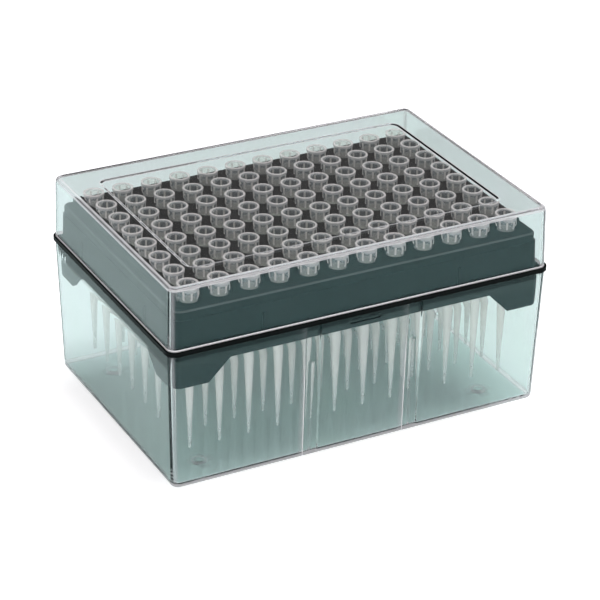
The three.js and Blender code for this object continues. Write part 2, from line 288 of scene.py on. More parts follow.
def new_material(name):
    """An empty node material: the material, its tree, and the socket that takes the finished surface."""
    material = bpy.data.materials.new(name)
    material.use_nodes = True
    tree = material.node_tree
    tree.nodes.clear()
    return material, tree, tree.nodes.new("ShaderNodeOutputMaterial").inputs["Surface"]


def add_node(tree, kind, inputs=None, **settings):
    """A node with its settings by name. An input is given either a value or the output socket that feeds
    it."""
    node = tree.nodes.new(kind)
    for key, value in settings.items():
        setattr(node, key, value)
    for key, value in (inputs or {}).items():
        if isinstance(value, bpy.types.NodeSocket):
            tree.links.new(value, node.inputs[key])
        else:
            node.inputs[key].default_value = value
    return node


def mix_shaders(tree, share, first, second):
    """The mix of two shaders: the first where share is 0 and the second where it is 1."""
    return add_node(tree, "ShaderNodeMixShader", {0: share, 1: first, 2: second}).outputs["Shader"]


# %% Patterns and ramps


def noise_on_object(tree, scale, detail=2.0, stretch=(1, 1, 1)):
    """Noise in object space, with the pattern stretched along the axes by a Mapping node."""
    place = add_node(tree, "ShaderNodeTexCoord").outputs["Object"]
    mapping = add_node(tree, "ShaderNodeMapping", {"Vector": place, "Scale": stretch})
    noise = {"Vector": mapping.outputs["Vector"], "Scale": scale, "Detail": detail}
    return add_node(tree, "ShaderNodeTexNoise", noise).outputs["Fac"]


def ramp(tree, source, stops):
    """A colour ramp over source with (place, colour) stops."""
    node = add_node(tree, "ShaderNodeValToRGB", {"Fac": source})
    while len(node.color_ramp.elements) < len(stops):
        node.color_ramp.elements.new(0.5)
    for element, (place, colour) in zip(node.color_ramp.elements, stops):
        element.position = place
        element.color = (*colour, 1)
    return node.outputs["Color"]


def bumped(tree, height, strength, distance):
    """A normal that is bent by a pattern's height."""
    inputs = {"Height": height, "Strength": strength, "Distance": distance}
    return add_node(tree, "ShaderNodeBump", inputs).outputs["Normal"]


def spread(tree, value, low, high, reach=1.0):
    """A value from 0 to reach, stretched to the range from low to high."""
    inputs = {"Value": value, "From Max": reach, "To Min": low, "To Max": high}
    return add_node(tree, "ShaderNodeMapRange", inputs).outputs["Result"]


def haze_and_highlight_of_piece(tree):
    """The haze_and_highlight value that a piece's points carry: haze on tips, painted highlight elsewhere.
    """
    return add_node(tree, "ShaderNodeAttribute", attribute_name="haze_and_highlight").outputs["Fac"]


# %% The clear plastic


def clear_plastic(name, window_colour):
    """Bending, glossy, faintly cyan polystyrene that lets lamps and bounced light straight through, tinted
    by window_colour. The haze_and_highlight attribute mixes in a frosted surface as painted highlight, grey
    where the value is low and white where it is high."""
    material, tree, surface = new_material(name)
    stress = noise_on_object(tree, 28.0, 1.0, (1, 1, 0.6))
    cloud = noise_on_object(tree, 45.0, 3.0)
    waves = noise_on_object(tree, 22.0, 0.0)
    # Painted reflection colour: the Specular Tint gives the reflections a cyan cast and dims them face on.
    polished = add_node(tree, "ShaderNodeBsdfPrincipled", {
        "IOR": 1.59, "Transmission Weight": 1.0, "Specular Tint": (0.35, 0.55, 0.57, 1),
        "Base Color": ramp(tree, stress, [
            (0.30, (0.982, 0.986, 0.981)), (0.46, (0.987, 0.984, 0.988)),
            (0.54, (0.993, 0.979, 0.989)), (0.70, (0.978, 0.988, 0.978))]),
        "Roughness": spread(tree, cloud, 0.01, 0.035),
        "Normal": bumped(tree, waves, 0.015, 0.0004)})
    haze_and_highlight = haze_and_highlight_of_piece(tree)
    # Painted highlight: a frosted, lit surface that stands in for the bright lines on edges and corners.
    painted_highlight = add_node(tree, "ShaderNodeBsdfPrincipled", {
        "Base Color": ramp(tree, haze_and_highlight, [(0.2, (0.50, 0.49, 0.52)), (0.6, (0.96, 0.95, 0.97))]),
        "Roughness": 0.4})
    wall = mix_shaders(tree, haze_and_highlight, polished.outputs["BSDF"], painted_highlight.outputs["BSDF"])
    window = add_node(tree, "ShaderNodeBsdfTransparent", {"Color": (*window_colour, 1)})
    path = add_node(tree, "ShaderNodeLightPath").outputs
    straight = add_node(tree, "ShaderNodeMath", {0: path["Is Shadow Ray"], 1: path["Is Diffuse Ray"]},
                        operation="MAXIMUM")
    tree.links.new(mix_shaders(tree, straight.outputs["Value"], wall, window.outputs["BSDF"]), surface)
    return material


LID_CLEAR = clear_plastic("clear_polystyrene_lid", (0.975, 0.975, 0.975))
TUB_CLEAR = clear_plastic("clear_polystyrene_tub", (0.94, 0.978, 0.972))

# %% [markdown]
# ## The tub
#
# The tub is one skin: it starts at the middle of the underside, runs out over the flat to the rounded
# bottom edge, up the outside to the rim, down the inside and back to the middle of the floor. The flat ends
# are patches, and all between is rings.
#
# Four features are then worked into that skin, each a small function of where a point lies. Two shallow
# flutes run up each long wall. A narrow rib stands on the inner face behind each flute and stops short of
# the rack. A thumb slot sits just under the rim. Four low round feet grow out of the underside.

# %% Outline of the tub
TUB_WALL, TUB_DRAFT = 1.2, 1.55
TUB_CORNER, TUB_EDGE = 2.2, 1.2
RIM_EDGE, FLOOR_FILLET = 0.15, 0.5
FLUTE_X, FLUTE_WIDTH, FLUTE_DEPTH, FLUTE_FLANK = 15.9, 4.3, 0.4, 0.5
FOOT_RADIUS, FOOT_SHOULDER = 1.9, 2.4
FOOT_INSET_X, FOOT_INSET_Y = 12.5, 11.1

COARSE = 3.0  # spacing of the samples where a side is plain
STRAIGHT_LOSS = 1.2  # by how much the lowest ring's straight sides are shorter than the rim's
FOOT_LEAN = 1.1  # by how much the underside's outline lies inside the rim's
flute_mark = (FLUTE_X, 2.6, 0.13)  # each mark: its middle, its reach to both sides and its spacing
slot_mark = (0.0, 5.4, 0.3)
foot_mark_x = (tub_x - FOOT_INSET_X - FOOT_LEAN, 2.4, 0.24)
foot_mark_y = (tub_y - FOOT_INSET_Y - FOOT_LEAN, 2.4, 0.24)
tub_side_x = fixed(tub_x - TUB_CORNER - STRAIGHT_LOSS, COARSE, flute_mark, slot_mark, foot_mark_x)
tub_side_y = fixed(tub_y - TUB_CORNER - STRAIGHT_LOSS, COARSE, foot_mark_y)
tub_samples = outline_samples(tub_side_x, tub_side_y)
rim_top = rim_level - SEAT_GAP
print("samples round the tub:", tub_samples[0].shape[1])


def tub_half(level, inset=0.0):
    """Half lengths of the tub's outside at a level, moved in by inset: the walls lean out by the draft."""
    lean = (rim_level - level) * slope(TUB_DRAFT)
    return tub_x - lean - inset, tub_y - lean - inset


# %% Flutes and slot
SLOT_LENGTH, SLOT_HEIGHT, SLOT_DEPTH, SLOT_FLANK = 9.6, 1.2, 0.3, 0.2
slot_level = rim_level - 1.7
ON_WALL = 0.01  # how far a point may lie inside a wall's face and still belong to it


def press_flutes(points):
    """Cuts the flutes into the long walls. A point may not stand further out than the flute's own face,
    which is the wall's face less the flute's depth inside the flute's width."""
    x, y, z = points[..., 0], points[..., 1], points[..., 2]
    face = tub_half(z)[1] - FLUTE_DEPTH * ridge(np.abs(x) - FLUTE_X, FLUTE_WIDTH, FLUTE_FLANK)
    points[..., 1] = np.clip(y, -face, face)
    return points


def press_slot(points):
    """Presses the thumb slot into both long walls. Its form is the distance to a short level line, so it
    has round ends: full depth closer than half the slot's height, and none beyond."""
    x, y, z = points[..., 0], points[..., 1], points[..., 2]
    reach = (SLOT_LENGTH - SLOT_HEIGHT) / 2
    distance = np.hypot(np.maximum(np.abs(x) - reach, 0), z - slot_level)
    on_long_wall = np.abs(y) > tub_half(z)[1] - ON_WALL
    points[..., 1] = y - np.sign(y) * SLOT_DEPTH * ridge(distance, SLOT_HEIGHT, SLOT_FLANK) * on_long_wall
    return points


# %% Ribs and feet
RIB_WIDTH, RIB_FLANK, RIB_PROUD = 1.1, 1.1, 0.24
RIB_RUNOUT = 1.2  # height over which a rib fades out at its top
rib_top = rim_level - 12.0


def raise_ribs(points):
    """Brings the inner face of the long walls inwards at each rib, by the rib's height times its share
    across and its share up, which falls to nothing over the run-out at its top."""
    x, y, z = points[..., 0], points[..., 1], points[..., 2]
    across = ridge(np.abs(x) - FLUTE_X, RIB_WIDTH, RIB_FLANK)
    up = np.clip((rib_top - z) / RIB_RUNOUT + 0.5, 0, 1)
    on_long_wall = np.abs(y) > tub_half(z, TUB_WALL)[1] - ON_WALL
    points[..., 1] = y - np.sign(y) * RIB_PROUD * across * up * on_long_wall
    return points


def foot_share(points):
    """Share of a foot's full height at each point of the underside: 1 within the foot and 0 beyond its soft
    shoulder, by the distance to the nearest foot's middle."""
    half_x, half_y = tub_half(underside_level)
    distance = np.hypot(np.abs(points[..., 0]) - (half_x - FOOT_INSET_X),
                        np.abs(points[..., 1]) - (half_y - FOOT_INSET_Y))
    return ridge(distance, 2 * FOOT_RADIUS, FOOT_SHOULDER)


def press_feet(points):
    """Lets four round feet down from the underside."""
    points[..., 2] -= FOOT_HEIGHT * foot_share(points)
    return points


# %% Rows of the tub's two faces
BOTTOM_EDGE_STEPS = 6
HIGHLIGHT_FADE_HEIGHT = 0.5  # height over which the bottom edge's painted highlight fades out up the wall
SLOT_REACH, SLOT_STEP = 0.9, 0.15  # closer rows above and below the slot's middle


def tub_outside():
    """Rows from the flat of the underside, round the bottom edge and up the outer wall to the rim."""
    half_x, half_y = tub_half(underside_level)
    corner = TUB_CORNER
    rows = quarter_round(half_x, half_y, corner, underside_level, TUB_EDGE, "flat", 1, BOTTOM_EDGE_STEPS)
    wall_start, wall_end = underside_level + TUB_EDGE, rim_top - RIM_EDGE
    levels = np.concatenate([
        [wall_start + HOLD, wall_start + HIGHLIGHT_FADE_HEIGHT], np.linspace(wall_start + 3, slot_level - 1.4, 8),
        slot_level + np.arange(-SLOT_REACH, SLOT_REACH + SLOT_STEP / 3, SLOT_STEP), [wall_end]])
    rows += [(*tub_half(level), corner, level) for level in levels]
    return rows + quarter_round(*tub_half(rim_top), corner, wall_end, RIM_EDGE, "wall", 1, 3)[1:]


def tub_inside():
    """Rows from the rim down the inner wall and round the small fillet into the floor."""
    corner = TUB_CORNER - TUB_WALL
    half_x, half_y = tub_half(rim_top, TUB_WALL)
    rim = [(half_x + RIM_EDGE, half_y + RIM_EDGE, corner + RIM_EDGE, rim_top),
           (half_x + RIM_EDGE / 3, half_y + RIM_EDGE / 3, corner + RIM_EDGE / 3, rim_top - RIM_EDGE / 3),
           (half_x, half_y, corner, rim_top - RIM_EDGE)]
    levels = np.concatenate([
        [rib_top + 6], rib_top + RIB_RUNOUT * np.array([0.5, 0.25, 0, -0.25, -0.5]),
        np.linspace(rib_top - 3, floor_level + 2, 5), [floor_level + FLOOR_FILLET + HOLD]])
    wall = [(*tub_half(level, TUB_WALL), corner, level) for level in levels]
    foot_x, foot_y = tub_half(floor_level, TUB_WALL)
    fillet = quarter_round(foot_x, foot_y, corner, floor_level + FLOOR_FILLET, FLOOR_FILLET, "wall", -1, 4)
    return rim + wall + fillet


# %% [markdown]
# A clear moulding shows its edges as pale lines. Here these lines are painted highlights: each point of a
# clear wall carries a value between 0 and 1, and the material turns that share of the surface into frosted
# plastic. The tub has painted highlight on its upright corners, its bottom edge, one side of each front
# flute, its ribs and the shoulders of its feet.

# %% Painted highlight of corners and edges
CORNER_HIGHLIGHT, EDGE_HIGHLIGHT = 0.22, 0.55


def corner_highlight(samples):
    """Painted highlight round the upright corners: the double angle's sine to the sixth power, so most lies
    in the middle."""
    return CORNER_HIGHLIGHT * (2 * np.abs(samples[2][0] * samples[2][1])) ** 6


def edge_highlight(steps):
    """Painted highlight over a quarter-round edge's rows: nothing at its two ends, most next to them and
    half in its middle."""
    run = np.linspace(-1, 1, steps + 1)
    return EDGE_HIGHLIGHT * (0.5 + 0.5 * np.abs(run)) * (np.abs(run) < 1)


# %% The tub's skin and its painted highlight
BOTTOM_EDGE_HIGHLIGHT, RIB_HIGHLIGHT, FOOT_SHOULDER_HIGHLIGHT = 0.5, 0.1, 0.35
FLUTE_HIGHLIGHT, FLUTE_LINE_WIDTH = 1.0, 0.13
FLUTE_LINE_SHIFT = 0.3  # how far that line lies outside the middle of the flute's flank
FADE_DEPTH, FADE_LEAST = 12, 0.25  # depth below the skirt where the line is full, and its share at the top
SKIRT_DEPTH = 4.4  # how far the rack's skirt reaches into the tub between its legs

outside, inside = tub_outside(), tub_inside()
under_x, under_y = outside[0][0] - outside[0][2], outside[0][1] - outside[0][2]
flat_x, flat_y = inside[-1][0] - inside[-1][2], inside[-1][1] - inside[-1][2]
outer_rings = rings(tub_samples, [(under_x, under_y, 0, underside_level), *outside])
inner_rings = rings(tub_samples, [*inside, (flat_x, flat_y, 0, floor_level)])
tub_skin = np.concatenate([press_slot(press_flutes(outer_rings)), raise_ribs(inner_rings)])


def tub_skin_highlight():
    """Painted highlight of every point of the skin: the greatest of the bottom edge's, the corners', the
    flute lines' and the ribs'. A flute line lies on one side of each flute of the front wall only; it is
    full within half its width of the flank, fades to nothing over one width more, and fades upwards with the
    depth below the skirt."""
    x, y, z = tub_skin[..., 0], tub_skin[..., 1], tub_skin[..., 2]
    row_highlight = np.zeros(len(tub_skin))
    row_highlight[1:BOTTOM_EDGE_STEPS + 3] = BOTTOM_EDGE_HIGHLIGHT
    on_outside = np.arange(len(tub_skin))[:, None] < len(outer_rings)
    flute_edge = np.abs(np.abs(x + FLUTE_WIDTH / 2 + FLUTE_LINE_SHIFT) - FLUTE_X)
    fade = np.clip((rim_level - SKIRT_DEPTH - z) / FADE_DEPTH, FADE_LEAST, 1)
    flute = FLUTE_HIGHLIGHT * fade * np.clip(1.5 - flute_edge / FLUTE_LINE_WIDTH, 0, 1) * (on_outside & (y < 0))
    rib = RIB_HIGHLIGHT * ridge(np.abs(x) - FLUTE_X, RIB_WIDTH, RIB_FLANK) * (z < rib_top) * ~on_outside
    return np.maximum.reduce([flute, rib, np.maximum(row_highlight[:, None], corner_highlight(tub_samples))])


# %% Build the tub
underside = patch(tub_side_x, tub_side_y, under_x, under_y, underside_level)
floor_top = patch(tub_side_x, tub_side_y, flat_x, flat_y, floor_level)
shoulder = foot_share(underside)
# Painted highlight on the shoulders of the feet, and none on the floor.
underside_highlight = FOOT_SHOULDER_HIGHLIGHT * 4 * shoulder * (1 - shoulder)  # full at half a foot's height
floor_highlight = np.zeros(floor_top[..., 0].size)
tub_highlight = np.concatenate([underside_highlight.ravel(), tub_skin_highlight().ravel(), floor_highlight])
print(f"tub: haze on {np.mean(tub_highlight > 0):.0%} of its points, at most {tub_highlight.max():.2f}")
tub_grids = [(press_feet(underside), False), (tub_skin, True), (floor_top, False)]
tub = mesh_piece("tub_shell", tub_grids, haze_and_highlight=tub_highlight)
dress(tub, "box", "clear_plastic", TUB_CLEAR, "base_box")

# %% [markdown]
# ## The lid
#
# The lid is built the same way, upside down: from the middle of its ceiling out and down the inside, round
# the lower edge, up the outside, over the rounded top edge and back to the middle. On the way it goes down
# a short slope into a shallow panel that the feet of another box can stand in. Rings held close to each
# bend keep it crisp. Its painted highlight lies on the line of its foot, on the rounded top edge, on the
# panel's bends and on the upright corners.

# %% Outline of the lid, and its sunken panel
LID_WALL, LID_DRAFT = 1.2, 1.3
LID_CORNER, LID_EDGE, LID_EDGE_STEPS = 2.4, 1.3, 8
LOWER_EDGE, CEILING_FILLET = 0.2, 0.35
PANEL_DEPTH, PANEL_SLOPE, PANEL_CORNER = 0.3, 0.85, 3.0
PANEL_INSET_X, PANEL_INSET_Y = 9.5, 9.1
BEND = 0.05  # half the width of a bend between two flats
lid_side_x, lid_side_y = stretched(24), stretched(16)
lid_samples = outline_samples(lid_side_x, lid_side_y)
print("samples round the lid:", lid_samples[0].shape[1])


def lid_half(level, inset=0.0):
    """Half lengths of the lid's outside at a level, moved in by inset: the walls lean in by the draft."""
    lean = (level - flange_level) * slope(LID_DRAFT)
    return lid_x - lean - inset, lid_y - lean - inset


def panel_step(level):
    """Rows down the slope to the sunken panel, from the flat at level. The step's depth follows the inset
    from the panel's border, and each bend is split in four rings a hair apart."""
    top_x, top_y = lid_half(lid_top_level)
    foot_x, foot_y = top_x - PANEL_INSET_X, top_y - PANEL_INSET_Y
    bend = np.array([-3 * BEND, -BEND, BEND, 3 * BEND])
    inset = np.concatenate([bend, bend + PANEL_SLOPE])
    height = -np.clip(inset / PANEL_SLOPE, 0, 1) * PANEL_DEPTH
    return [(foot_x - i, foot_y - i, PANEL_CORNER - i, level + h) for i, h in zip(inset, height)]


# %% Rows of the lid's two faces
FOOT_HIGHLIGHT_HEIGHT = 0.85  # height of the painted highlight line round the lid's foot


def lid_inside():
    """Rows from the flat of the ceiling, round its fillet and down the inner wall."""
    ceiling = lid_top_level - LID_WALL
    half_x, half_y = lid_half(ceiling, LID_WALL)
    corner = LID_CORNER - LID_WALL
    rows = quarter_round(half_x, half_y, corner, ceiling, CEILING_FILLET, "flat", -1, 4)
    levels = [ceiling - CEILING_FILLET - HOLD, *np.linspace(ceiling - 3, flange_level + 1, 4),
              flange_level + SEAT_GAP + LOWER_EDGE]
    rows += [(*lid_half(level, LID_WALL), corner, level) for level in levels]
    return rows


def lid_outside():
    """Rows round the lower edge, up the outer wall and over the rounded top edge."""
    low = flange_level + SEAT_GAP
    bottom_x, bottom_y = lid_half(low)
    inner = LID_WALL - LOWER_EDGE
    rows = [(bottom_x - inner, bottom_y - inner, LID_CORNER - inner, low),
            (bottom_x - LOWER_EDGE, bottom_y - LOWER_EDGE, LID_CORNER - LOWER_EDGE, low),
            (bottom_x - LOWER_EDGE / 3, bottom_y - LOWER_EDGE / 3, LID_CORNER, low + LOWER_EDGE / 3)]
    wall_end = lid_top_level - LID_EDGE
    highlight_top = low + FOOT_HIGHLIGHT_HEIGHT
    levels = [low + LOWER_EDGE, highlight_top, highlight_top + BEND]
    levels += [*np.linspace(low + 2, wall_end - 1, 5), wall_end - HOLD]
    rows += [(*lid_half(level), LID_CORNER, level) for level in levels]
    top_x, top_y = lid_half(lid_top_level)
    return rows + quarter_round(top_x, top_y, LID_CORNER, wall_end, LID_EDGE, "wall", 1, LID_EDGE_STEPS)


def lid_top():
    """Rows over the flat border of the top and down to the sunken panel."""
    top_x, top_y = lid_half(lid_top_level)
    flat_edge = LID_EDGE + HOLD
    border = (top_x - flat_edge, top_y - flat_edge, LID_CORNER - LID_EDGE, lid_top_level)
    return [border, *panel_step(lid_top_level)]


# %% Build the lid
LID_FOOT_HIGHLIGHT, BEND_HIGHLIGHT = 1.0, 0.6

inside, outside, top = lid_inside(), lid_outside(), lid_top()
(ceil_x, ceil_y, ceil_corner, ceil_level), (mid_x, mid_y, mid_corner, mid_level) = inside[0], top[-1]
ceil_x, ceil_y = ceil_x - ceil_corner, ceil_y - ceil_corner
mid_x, mid_y = mid_x - mid_corner, mid_y - mid_corner
lid_rows = [(ceil_x, ceil_y, 0, ceil_level), *inside, *outside, *top, (mid_x, mid_y, 0, mid_level)]
ceiling = patch(lid_side_x, lid_side_y, ceil_x, ceil_y, ceil_level)
panel_top = patch(lid_side_x, lid_side_y, mid_x, mid_y, mid_level)

foot_row = 1 + len(inside)  # the first row of the lower edge
flat_row = foot_row + len(outside)  # the first row on the flat of the top, next to the rounded edge
# Painted highlight of the lid: on its foot, its rounded top edge, the panel's bends and its upright corners.
row_highlight, on_wall = np.zeros(len(lid_rows)), np.ones(len(lid_rows))
row_highlight[foot_row + 1:foot_row + 5] = LID_FOOT_HIGHLIGHT
row_highlight[flat_row - LID_EDGE_STEPS - 1:flat_row] = edge_highlight(LID_EDGE_STEPS)
row_highlight[flat_row + np.array([2, 3, 6, 7])] = BEND_HIGHLIGHT  # the middle rows of both bends
on_wall[:2] = on_wall[flat_row:] = 0
wall_highlight = np.maximum(row_highlight[:, None], corner_highlight(lid_samples) * on_wall[:, None])
lid_highlight = np.pad(wall_highlight.ravel(), (ceiling[..., 0].size, panel_top[..., 0].size))
print(f"lid: haze on {np.mean(lid_highlight > 0):.0%} of its points, at most {lid_highlight.max():.2f}")
lid_grids = [(ceiling, False), (rings(lid_samples, lid_rows), True), (panel_top, False)]
lid = mesh_piece("lid_shell", lid_grids, sharp_angle=50, haze_and_highlight=lid_highlight)
dress(lid, "lid", "clear_plastic", LID_CLEAR, "lid")

# %% [markdown]
# ## Dark plastic
#
# The rack is black polypropylene with a faint green cast. Its faces are spark-eroded, so they are finely
# grained and only half glossy, with a little wear of the gloss here and there. A paler grey on its deck's
# edge is a painted highlight.

# %% The dark plastic


def dark_plastic():
    """Grained, half-matt black plastic: fine noise as bump, slower noise over roughness and colour. The
    haze_and_highlight attribute mixes in a grey that paints a highlight on the deck's edge."""
    material, tree, surface = new_material("black_polypropylene")
    shade = noise_on_object(tree, 60.0, 4.0)
    grain = noise_on_object(tree, 900.0, 2.0)
    colour = ramp(tree, shade, [(0.3, (0.003, 0.004, 0.004)), (0.7, (0.006, 0.0075, 0.0075))])
    # Painted highlight: a grey mixed into the black where the deck's edge would catch the light.
    edge_highlight_colour = add_node(tree, "ShaderNodeMix", {
        "Factor": haze_and_highlight_of_piece(tree), "A": colour, "B": (0.22, 0.25, 0.25, 1)}, data_type="RGBA")
    body = add_node(tree, "ShaderNodeBsdfPrincipled", {
        "IOR": 1.49, "Specular IOR Level": 0.03, "Base Color": edge_highlight_colour.outputs["Result"],
        "Roughness": spread(tree, shade, 0.3, 0.42), "Normal": bumped(tree, grain, 0.05, 0.00006)})
    tree.links.new(body.outputs["BSDF"], surface)
    return material


DARK = dark_plastic()

# %% [markdown]
# ## The rack
#
# The rack's deck is a plate with 96 round holes. A grid of points can't have a hole in it, but a square
# frame round a hole is easy: walk round the square, and let each point slide straight towards the middle
# until it lies on the circle. That frame is one cell. Ninety-six cells side by side share their borders,
# which makes the plate, and the outermost borders meet the rings of the rack's rim.

# %% The plate of holes
CELL_STEPS = 8
HOLE_RADIUS, HOLE_EDGE = 2.55, 0.15
DECK_THICKNESS = 1.6


def cell_ring():
    """Points round one square cell, anticlockwise, CELL_STEPS on each side."""
    run = np.linspace(-1, 1, CELL_STEPS + 1)[:-1] * PITCH / 2
    far = np.full_like(run, PITCH / 2)
    x = np.concatenate([far, -run, -far, run])
    y = np.concatenate([run, far, -run, -far])
    return np.stack([x, y], axis=-1)


def hole_cell():
    """One cell of the deck as a closed strip: in over the top, down the hole and out over the underside. A
    point between square and circle is the square's point times (1 - t) plus the circle's point times t."""
    square = cell_ring()
    circle = square / np.linalg.norm(square, axis=1, keepdims=True)
    ceiling = deck_level - DECK_THICKNESS
    hole, rim_ring = circle * HOLE_RADIUS, circle * (HOLE_RADIUS + HOLE_EDGE)
    rows = [(square, deck_level), (0.5 * square + 0.5 * rim_ring, deck_level), (rim_ring, deck_level),
            (hole, deck_level - HOLE_EDGE), (hole, ceiling), (square, ceiling)]
    return np.stack([np.column_stack([flat, np.full(len(flat), level)]) for flat, level in rows])


column_x = (np.arange(COLUMNS) - (COLUMNS - 1) / 2) * PITCH
row_y = ((ROWS - 1) / 2 - np.arange(ROWS)) * PITCH
grid_centres = np.stack(np.meshgrid(column_x, row_y), axis=-1).reshape(-1, 2)
cells = hole_cell()[None] + np.pad(grid_centres, ((0, 0), (0, 1)))[:, None, None, :]
print("cells, rows and points of the plate:", cells.shape[:3])

# %% [markdown]
# The wall below the deck is a loft again: over the rounded deck edge, down the narrow band, out at the
# step, down the leaning wall, across the flange and up and over its lip, then under the flange to the
# skirt. The skirt's lower border isn't level: it dips to a foot at each corner and rises to an arch between
# them. So the skirt's rings are blended between the flange and that border, and the samples slide along to
# meet its bends.

# %% The arched border of the skirt
RACK_WALL, RACK_DRAFT, RACK_CORNER = 1.5, 1.6, 2.4
SKIRT_CLEARANCE, LEG_DEPTH = 0.3, 10.8
LEG_FOOT_X, LEG_FOOT_Y, LEG_SLOPE_RUN = 10.1, 9.6, 6.5
rack_side_x, rack_side_y = stretched(COLUMNS * CELL_STEPS), stretched(ROWS * CELL_STEPS)
rack_samples = outline_samples(rack_side_x, rack_side_y)


def skirt_half(level, inset=0.0):
    """Half lengths of the skirt's outside: the tub's inside less the clearance, at any level."""
    return tub_half(level, TUB_WALL + SKIRT_CLEARANCE + inset)


def arch_side(samples, straight, half_foot):
    """Slides a side's shares so that samples fall on the arch's four bends, and gives the border's drop
    below the flange at each: the leg's depth at the feet, the skirt's depth between, and straight
    slopes."""
    share = samples[0]
    bends = np.array([half_foot - LEG_SLOPE_RUN, half_foot]) / straight
    near = share[np.abs(share[:, None] - bends).argmin(axis=0)]
    moved = np.interp(share, [-1, -near[1], -near[0], near[0], near[1], 1],
                      [-1, -bends[1], -bends[0], bends[0], bends[1], 1])
    drop = np.interp(np.abs(moved), bends, [SKIRT_DEPTH, LEG_DEPTH])
    return (moved, samples[1]), drop


foot_x, foot_y = skirt_half(rim_level - LEG_DEPTH)
arch_x, drop_x = arch_side(rack_side_x, foot_x - RACK_CORNER, foot_x - LEG_FOOT_X)
arch_y, drop_y = arch_side(rack_side_y, foot_y - RACK_CORNER, foot_y - LEG_FOOT_Y)
arch_samples = outline_samples(arch_x, arch_y)
corner_drop = np.full(CORNER_STEPS - 1, LEG_DEPTH)
border_drop = np.tile(np.concatenate([drop_y, corner_drop, drop_x, corner_drop]), 2)
print(f"skirt: {border_drop.min():.1f} mm deep between its legs, {border_drop.max():.1f} mm at their feet")

# %% Rings of the skirt, the walls and the flange
BAND_HEIGHT, BAND_STEP = 2.6, 0.35
DECK_EDGE, DECK_EDGE_STEPS, SMALL_EDGE = 0.5, 5, 0.12
FLANGE_CORNER, LIP_WIDTH, LIP_HEIGHT = 3.0, 0.45, 0.5
EDGE_TO_TIP_X, EDGE_TO_TIP_Y = 6.6, 6.2  # from the deck's edge to the axes of the outermost tips
deck_x, deck_y = GRID_X + (EDGE_TO_TIP_X - PITCH / 2), GRID_Y + (EDGE_TO_TIP_Y - PITCH / 2)
step_level = deck_level - BAND_HEIGHT
wall_lean = (step_level - flange_level) * slope(RACK_DRAFT)


def skirt_rings(shares_down, inset):
    """Rings of the skirt at shares of the way down to its border, moved in by inset. A point's height is
    the rim's less its share of the border's drop, and its outline is the one of its own height."""
    level = rim_level - np.array(shares_down)[:, None] * border_drop
    half_x, half_y = skirt_half(level, inset)
    share, _, direction = arch_samples
    radius = RACK_CORNER - inset
    x = share[0] * (half_x - radius) + radius * direction[0]
    y = share[1] * (half_y - radius) + radius * direction[1]
    return np.stack([x, y, level], axis=-1)


# %% Rows of the rack's walls


def rack_rows():
    """Rows from the deck's border over the edge, down the walls and round the flange."""
    step_x, step_y = deck_x + BAND_STEP, deck_y + BAND_STEP
    lip_x, lip_y = flange_x - LIP_WIDTH, flange_y - LIP_WIDTH
    lip_corner, lip_top, low = FLANGE_CORNER - LIP_WIDTH, flange_level + LIP_HEIGHT, rim_level
    edge_start = deck_level - DECK_EDGE
    edge = quarter_round(deck_x, deck_y, RACK_CORNER, edge_start, DECK_EDGE, "wall", 1, DECK_EDGE_STEPS)
    return [
        (GRID_X, GRID_Y, 0, deck_level), *edge[::-1],
        (deck_x, deck_y, RACK_CORNER, edge_start - HOLD),
        (deck_x, deck_y, RACK_CORNER, step_level),
        (step_x - SMALL_EDGE, step_y - SMALL_EDGE, RACK_CORNER, step_level),
        (step_x, step_y, RACK_CORNER, step_level - SMALL_EDGE),
        (step_x + wall_lean, step_y + wall_lean, RACK_CORNER, flange_level),
        (lip_x, lip_y, lip_corner, flange_level),
        (lip_x, lip_y, lip_corner, lip_top - SMALL_EDGE),
        (lip_x + SMALL_EDGE, lip_y + SMALL_EDGE, lip_corner + SMALL_EDGE, lip_top),
        (flange_x - SMALL_EDGE, flange_y - SMALL_EDGE, FLANGE_CORNER - SMALL_EDGE, lip_top),
        (flange_x, flange_y, FLANGE_CORNER, lip_top - SMALL_EDGE),
        (flange_x, flange_y, FLANGE_CORNER, low + SMALL_EDGE),
        (flange_x - SMALL_EDGE, flange_y - SMALL_EDGE, FLANGE_CORNER - SMALL_EDGE, low),
    ]


def rack_inside():
    """Rings of the rack's inner wall from the flange's height up to the ceiling under the deck."""
    inner_x, inner_y, corner = deck_x - RACK_WALL, deck_y - RACK_WALL, RACK_CORNER - RACK_WALL
    wide = BAND_STEP + wall_lean
    ceiling = deck_level - DECK_THICKNESS
    return rings(rack_samples, [(inner_x + wide, inner_y + wide, corner, flange_level),
                                (inner_x, inner_y, corner, ceiling), (GRID_X, GRID_Y, 0, ceiling)])


# %% The rack's skin
rack_skin = np.concatenate([
    rings(rack_samples, rack_rows()),
    skirt_rings([0, 0.5, 0.98], 0), skirt_rings([1.0], SMALL_EDGE),
    skirt_rings([1.0], RACK_WALL - SMALL_EDGE), skirt_rings([0.98, 0.5, 0], RACK_WALL), rack_inside()])
print("rings and points of the rack's skin:", rack_skin.shape[:2])

# %% Gussets, and the finished rack
GUSSET_X, GUSSET_Y, GUSSET_WIDTH, GUSSET_DEPTH, GUSSET_HEIGHT = 30.5, 21.5, 0.7, 0.67, 5.5
GUSSET_TOP, GUSSET_TAPER = 0.2, 0.1  # height of a gusset's bevelled top, and its inset
DECK_EDGE_HIGHLIGHT = 0.22  # how pale the painted highlight on the deck's edge is


